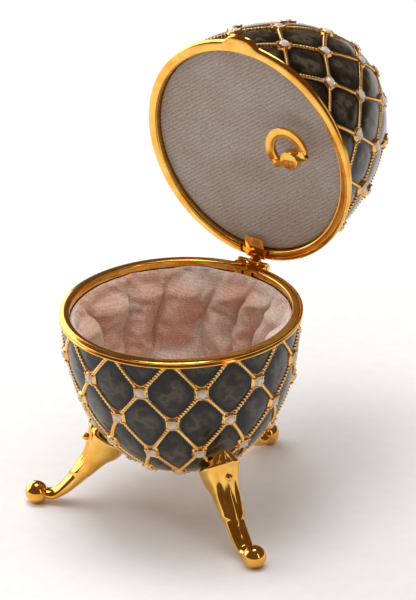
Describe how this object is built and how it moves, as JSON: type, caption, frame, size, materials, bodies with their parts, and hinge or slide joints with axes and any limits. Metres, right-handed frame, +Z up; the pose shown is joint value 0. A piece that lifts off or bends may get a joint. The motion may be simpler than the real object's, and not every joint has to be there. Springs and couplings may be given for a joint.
{
  "type": "jewelled egg trinket box",
  "caption": "Hinged egg-shaped trinket box on curved legs with ball feet, with a rope lattice, stone settings and a velvet-lined bowl; a folding winding key sits in the lid.",
  "frame": {"origin": "on the ground, under the middle of the open box", "axes": "+Z up; the front and the thumb-piece's side of the bowl face -Y, and the hinge is toward +Y; X runs along the hinge line"},
  "size_m": [0.0826, 0.124, 0.1358],
  "materials": {
    "enamel": "glossy grey enamel under a gilt lattice",
    "gilt": "polished gilt",
    "lining": "soft velvet",
    "panel": "fine ribbed velvet"
  },
  "bodies": {
    "base": {"bowl": "enamel", "bowl_collar": "gilt", "bowl_lining": "lining", "hinge_bowl_leaf": "gilt", "hinge_pin": "gilt", "leg_back": "gilt", "leg_front_left": "gilt", "leg_front_right": "gilt"},
    "lid": {"lid_dome": "enamel", "lid_collar": "gilt", "lid_panel": "panel", "hinge_lid_leaf": "gilt"},
    "key": {"key_hub": "gilt"},
    "handle": {"key_handle": "gilt"}
  },
  "joints": [
    {"name": "lid_hinge", "type": "hinge", "parent": "base", "child": "lid", "pos_m": [-0.00057, 0.00953, 0.0622], "axis": [1, 0, 0], "range_deg": [0, 85]},
    {"name": "key_turn", "type": "hinge", "parent": "lid", "child": "key", "pos_m": [0.01743, 0.00381, 0.10235], "axis": [0, 0.9962, 0.0872], "continuous": true},
    {"name": "handle_fold", "type": "hinge", "parent": "key", "child": "handle", "pos_m": [0.01743, 0.00381, 0.10235], "axis": [0.9135, -0.0354, 0.4052], "range_deg": [0, 180]}
  ]
}
